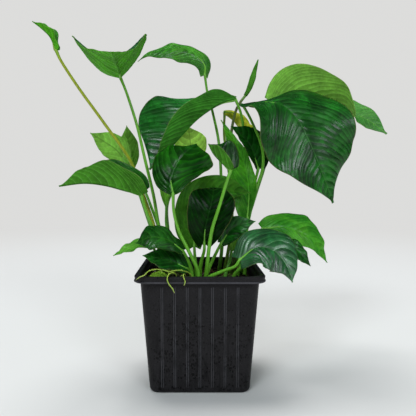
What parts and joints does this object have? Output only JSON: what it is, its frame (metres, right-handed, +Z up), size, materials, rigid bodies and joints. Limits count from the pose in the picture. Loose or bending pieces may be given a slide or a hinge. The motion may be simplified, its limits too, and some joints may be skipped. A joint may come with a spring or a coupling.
{
  "type": "potted anubias",
  "caption": "Square ribbed nursery pot of soil with a broad-leaved anubias on long petioles, moss behind the rim and air roots over it.",
  "frame": {"origin": "centre of the pot's underside, on the surface the pot stands on", "axes": "+Z up, the side the picture shows faces -Y, and its right side is +X"},
  "size_m": [0.3493, 0.1629, 0.3281],
  "materials": {
    "pot": "satin",
    "soil": "matte",
    "rootstock": "satin",
    "moss": "matte",
    "air_root": "satin",
    "leaf_dark": "glossy",
    "leaf_mid": "glossy",
    "leaf_olive": "satin",
    "leaf_bright": "satin",
    "leaf_backlit": "satin",
    "leaf_yellow": "satin"
  },
  "bodies": {
    "root": {"pot": "pot", "soil": "soil", "rootstock": "rootstock", "moss": "moss", "air_root_long": "air_root", "air_root_middle": "air_root", "air_root_short": "air_root", "leaf_far_left_furled": "leaf_bright", "leaf_upper_left": "leaf_bright", "leaf_top_arched": "leaf_mid", "leaf_centre_left_broad": "leaf_dark", "leaf_centre_cupped": "leaf_dark", "leaf_broad_right": "leaf_dark", "leaf_far_right_twisted": "leaf_backlit", "leaf_left_folded": "leaf_mid", "leaf_small_folded": "leaf_mid", "leaf_centre_dark": "leaf_dark", "leaf_centre_backlit": "leaf_backlit", "leaf_olive_centre": "leaf_olive", "leaf_hanging_green": "leaf_bright", "leaf_lower_dark": "leaf_dark", "leaf_dark_folded": "leaf_dark", "leaf_yellowing": "leaf_yellow", "leaf_left_backlit_low": "leaf_backlit", "leaf_left_backlit_high": "leaf_backlit", "leaf_lower_left_glossy": "leaf_mid", "leaf_left_thin_tip": "leaf_mid", "leaf_low_dark": "leaf_dark", "leaf_lower_right_glossy": "leaf_dark", "leaf_right_bright": "leaf_bright", "leaf_right_small_dark": "leaf_dark", "leaf_young_right": "leaf_backlit", "leaf_young_left": "leaf_backlit", "leaf_spear": "leaf_mid"}
  },
  "joints": []
}
